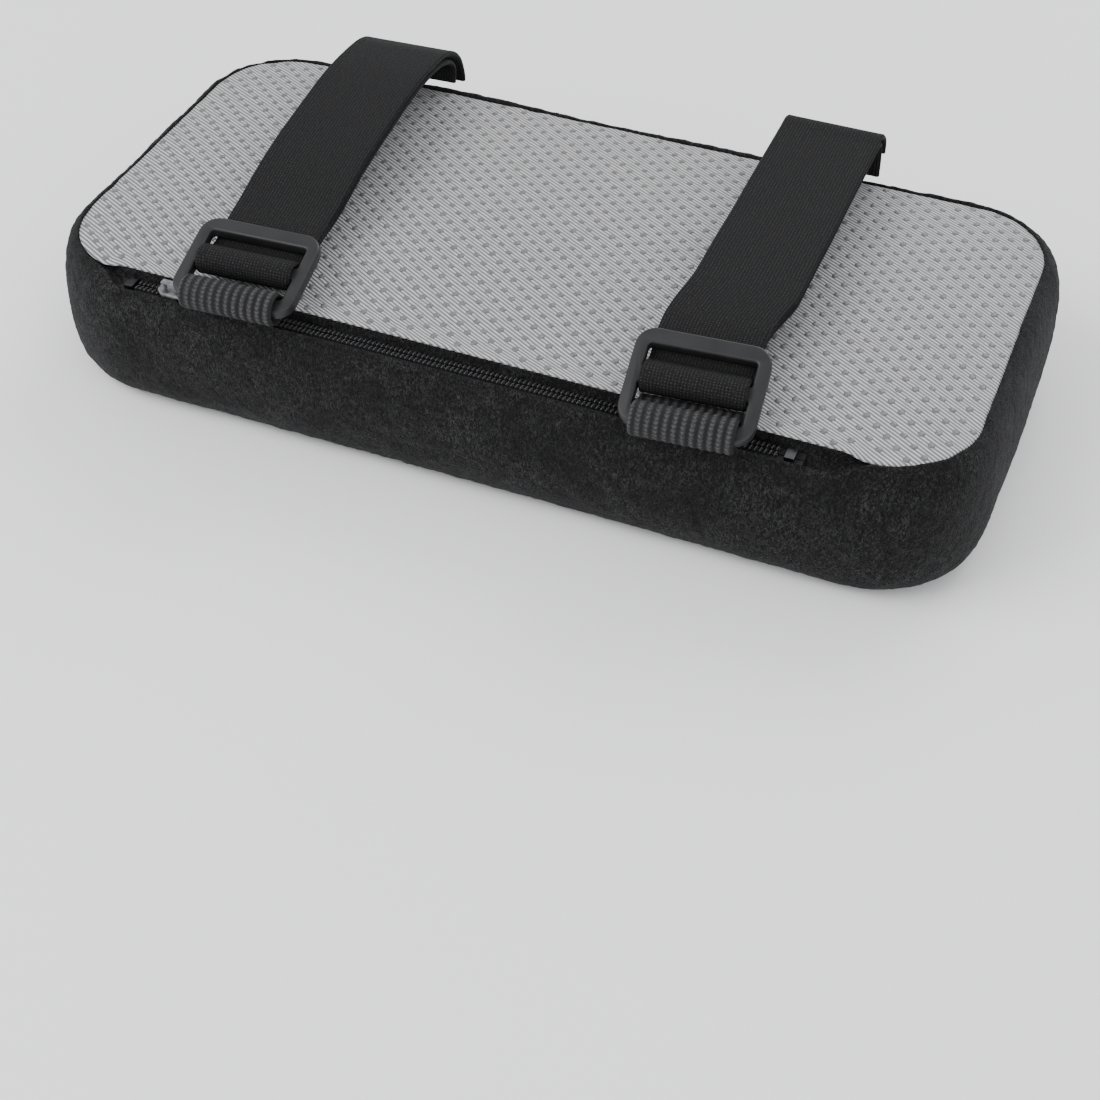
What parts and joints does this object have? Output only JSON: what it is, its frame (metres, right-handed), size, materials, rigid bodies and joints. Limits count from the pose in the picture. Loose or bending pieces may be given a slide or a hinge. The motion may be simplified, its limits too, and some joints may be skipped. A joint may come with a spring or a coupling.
{
  "type": "chair armrest pad",
  "caption": "Zipped foam pad with a velour face, a grey grip underside and two elastic straps with three-bar buckles that fasten it over a chair's armrest.",
  "frame": {"origin": "middle of the velour face, the soft face that the forearm rests on in use; the part is kept lying on that face, with its underside up", "axes": "+Z out of the underside, through the straps; +X along the pad; +Y across it, from the buckles to the straps' sewn ends. In use the pad is turned half a turn about X, so that the straps pass under the chair's armrest."},
  "size_m": [0.258, 0.1373, 0.0565],
  "materials": {
    "foam": "open-cell foam",
    "velour": "short brushed pile",
    "grip_fabric": "satin twill with rows of grip dots",
    "elastic": "fine matt weave",
    "ribbed_webbing": "ribbed knit",
    "buckle_plastic": "satin moulded",
    "zip_tape": "woven tape",
    "zip_nylon": "drawn nylon",
    "zip_metal": "tumbled nickel"
  },
  "bodies": {
    "pad": {"foam_core": "foam", "velour_cover": "velour", "grip_panel": "grip_fabric", "zip_tape_cover_side": "zip_tape", "zip_tape_panel_side": "zip_tape", "zip_coil_cover_side": "zip_nylon", "zip_coil_panel_side": "zip_nylon", "zip_stop_closed_end": "zip_metal", "zip_stop_open_end": "zip_metal", "strap_inner_run_left": "elastic", "strap_outer_run_left": "elastic", "buckle_loop_left": "ribbed_webbing", "strap_inner_run_right": "elastic", "strap_outer_run_right": "elastic", "buckle_loop_right": "ribbed_webbing"},
    "left_buckle": {"buckle_left": "buckle_plastic", "strap_turn_left": "elastic"},
    "right_buckle": {"buckle_right": "buckle_plastic", "strap_turn_right": "elastic"},
    "slider": {"zip_slider": "zip_metal"},
    "pull_tab": {"zip_pull_tab": "zip_metal"}
  },
  "joints": [
    {"name": "left_buckle_tilt", "type": "hinge", "parent": "pad", "child": "left_buckle", "pos_m": [-0.0634, -0.0628, 0.0445], "axis": [0.9982, 0.0593, 0], "range_deg": [0, 45]},
    {"name": "right_buckle_tilt", "type": "hinge", "parent": "pad", "child": "right_buckle", "pos_m": [0.0578, -0.0633, 0.042], "axis": [0.9962, 0.0872, 0], "range_deg": [0, 45]},
    {"name": "zip_slide", "type": "slide", "parent": "pad", "child": "slider", "axis": [1, 0, 0], "range_m": [0, 0.16]},
    {"name": "pull_tab_swing", "type": "hinge", "parent": "slider", "child": "pull_tab", "pos_m": [-0.0812, -0.0573, 0.0393], "axis": [0, 0, -1], "range_deg": [0, 85]}
  ]
}
